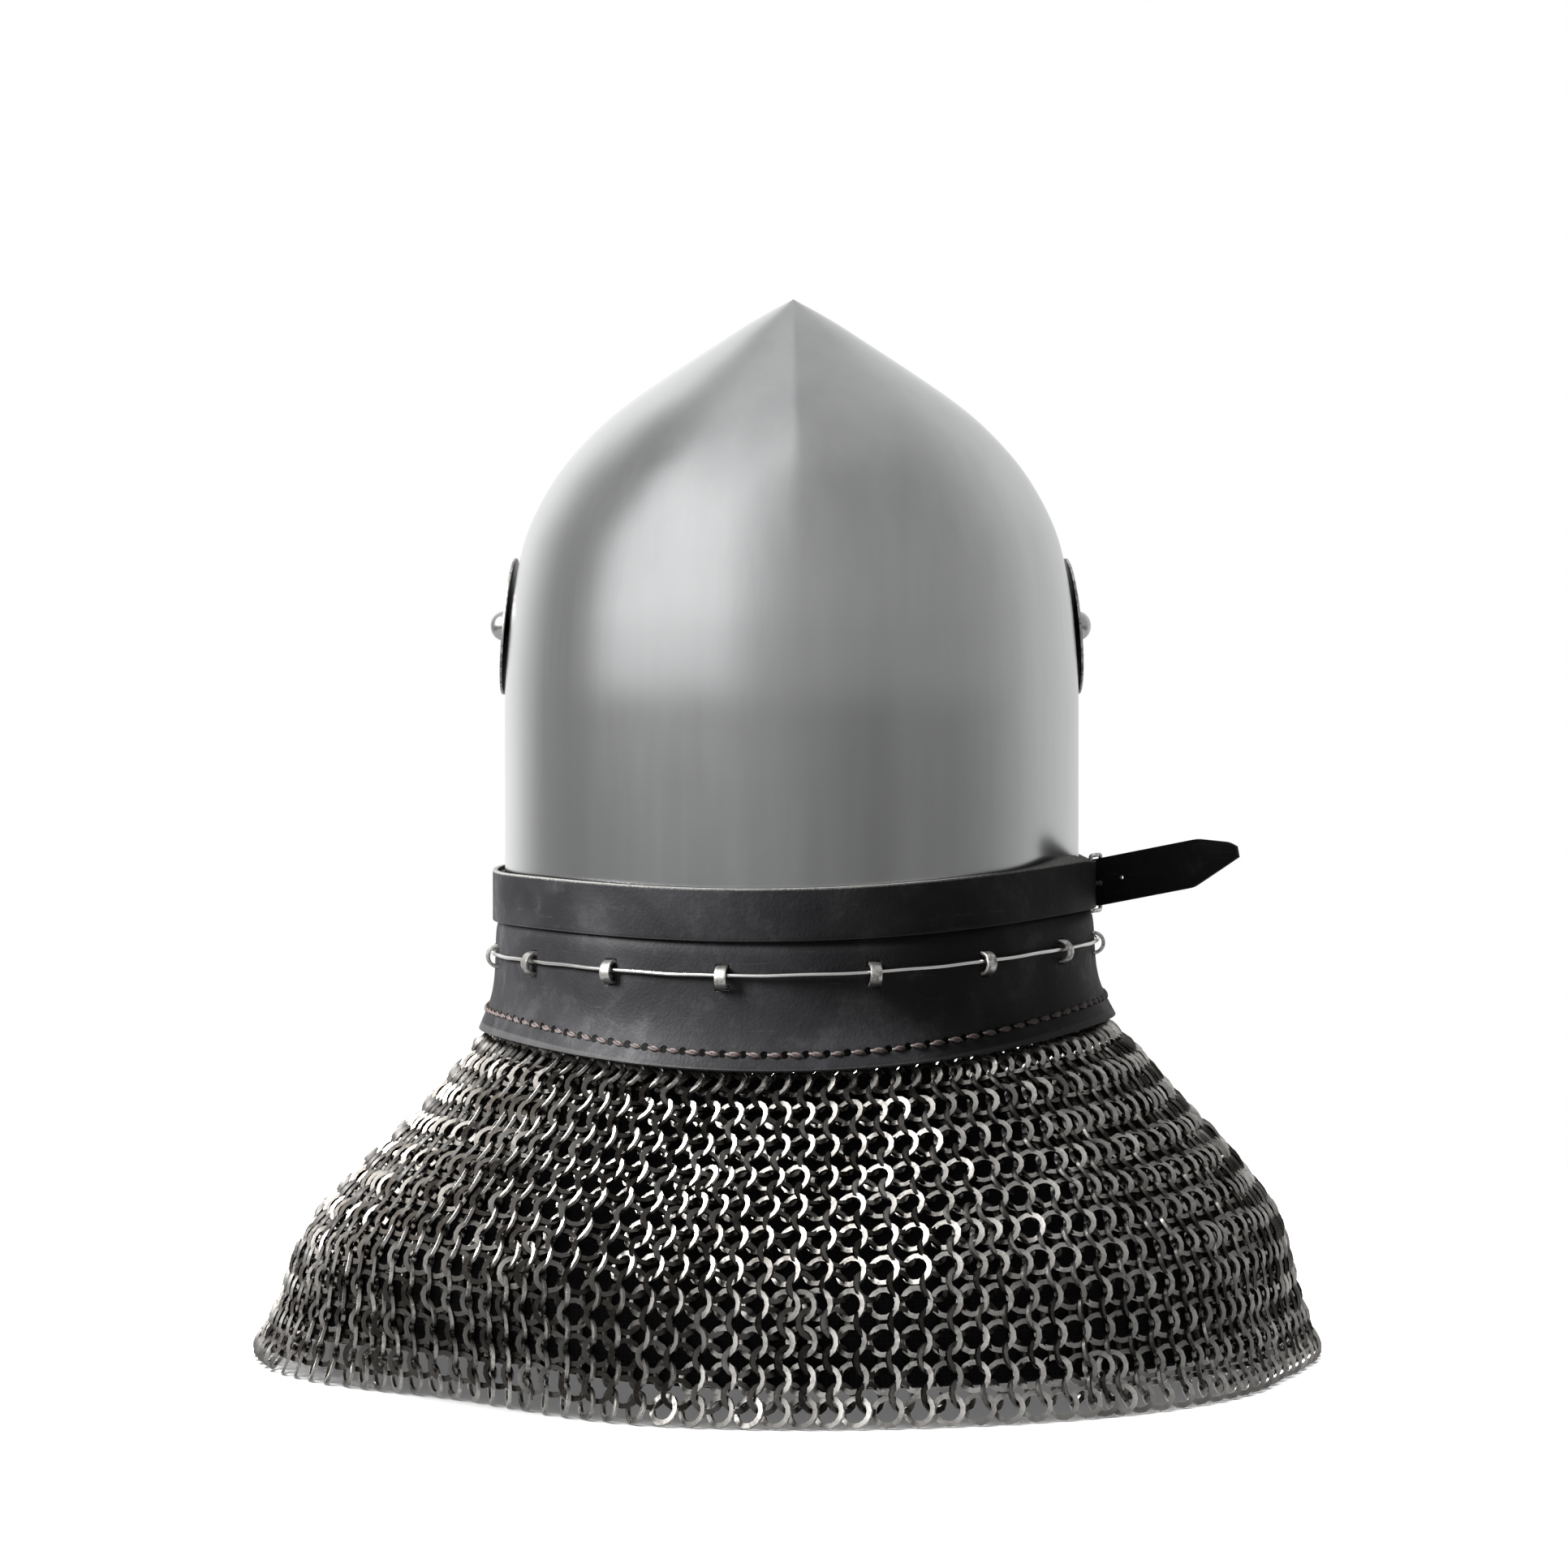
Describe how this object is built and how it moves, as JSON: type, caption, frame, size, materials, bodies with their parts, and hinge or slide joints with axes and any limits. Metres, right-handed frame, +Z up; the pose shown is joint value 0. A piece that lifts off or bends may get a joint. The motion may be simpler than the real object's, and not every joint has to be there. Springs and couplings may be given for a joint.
{
  "type": "bascinet helmet with camail",
  "caption": "Pointed steel bascinet with a charcoal leather collar band, a buckled neck strap and a flaring camail of dark mail that stands on its hem.",
  "frame": {"origin": "on the floor, in the middle of the whole piece's bounding box", "axes": "+Z up, +Y out of the face opening, +X to the wearer's right"},
  "size_m": [0.3795, 0.4071, 0.3745],
  "materials": {
    "skull_steel": "satin polished steel",
    "worn_steel": "worn, slightly darkened steel",
    "wire_steel": "bright drawn wire",
    "mail_steel": "oiled dark steel rings",
    "black_plate": "blackened steel",
    "leather": "matte charcoal leather",
    "lining_cloth": "dark padded cloth"
  },
  "bodies": {
    "root": {"skull": "skull_steel", "collar_band": "leather", "staple_01": "worn_steel", "staple_02": "worn_steel", "staple_03": "worn_steel", "staple_04": "worn_steel", "staple_05": "worn_steel", "staple_06": "worn_steel", "staple_07": "worn_steel", "staple_08": "worn_steel", "staple_09": "worn_steel", "staple_10": "worn_steel", "staple_11": "worn_steel", "staple_12": "worn_steel", "lacing_wire": "wire_steel", "neck_strap": "leather", "tongue_strap": "leather", "buckle_frame": "worn_steel", "buckle_prong": "worn_steel", "mail_camail": "mail_steel", "camail_lining": "lining_cloth", "pivot_plate_left": "black_plate", "pivot_plate_right": "black_plate", "pivot_bolt_left": "skull_steel", "pivot_bolt_right": "skull_steel", "cheek_rivet_left": "worn_steel", "cheek_rivet_right": "worn_steel"}
  },
  "joints": []
}
